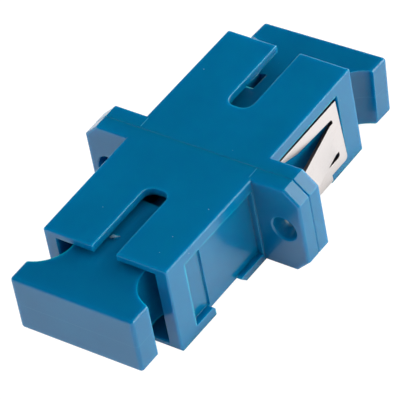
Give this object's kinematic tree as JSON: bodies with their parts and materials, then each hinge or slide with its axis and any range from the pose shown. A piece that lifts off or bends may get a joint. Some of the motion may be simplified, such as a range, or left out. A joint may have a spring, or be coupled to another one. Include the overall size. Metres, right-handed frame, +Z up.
{
  "type": "sc fibre adapter",
  "caption": "Push-pull fibre connector adapter with a screw flange, key slots, sheet steel panel clip and a pull-out dust cap in each end.",
  "frame": {"origin": "where the fibre axis meets the weld plane in the middle of the flange", "axes": "+Y along the fibre axis towards the clip end, +X across the flange, +Z up towards the key slots"},
  "size_m": [0.022, 0.0384, 0.009],
  "materials": {
    "housing_plastic": "satin moulded",
    "latch_plastic": "satin moulded",
    "sleeve_ceramic": "ground ceramic",
    "clip_steel": "bright rolled",
    "cap_plastic": "satin moulded"
  },
  "bodies": {
    "adapter": {"front_housing": "housing_plastic", "rear_housing": "housing_plastic", "front_latch": "latch_plastic", "rear_latch": "latch_plastic", "alignment_sleeve": "sleeve_ceramic", "panel_clip": "clip_steel"},
    "front_cap": {"front_dust_cap": "cap_plastic"},
    "rear_cap": {"rear_dust_cap": "cap_plastic"}
  },
  "joints": [
    {"name": "front_cap_pull", "type": "slide", "parent": "adapter", "child": "front_cap", "axis": [0, -1, 0], "range_m": [0, 0.012]},
    {"name": "rear_cap_pull", "type": "slide", "parent": "adapter", "child": "rear_cap", "axis": [0, 1, 0], "range_m": [0, 0.012]}
  ]
}
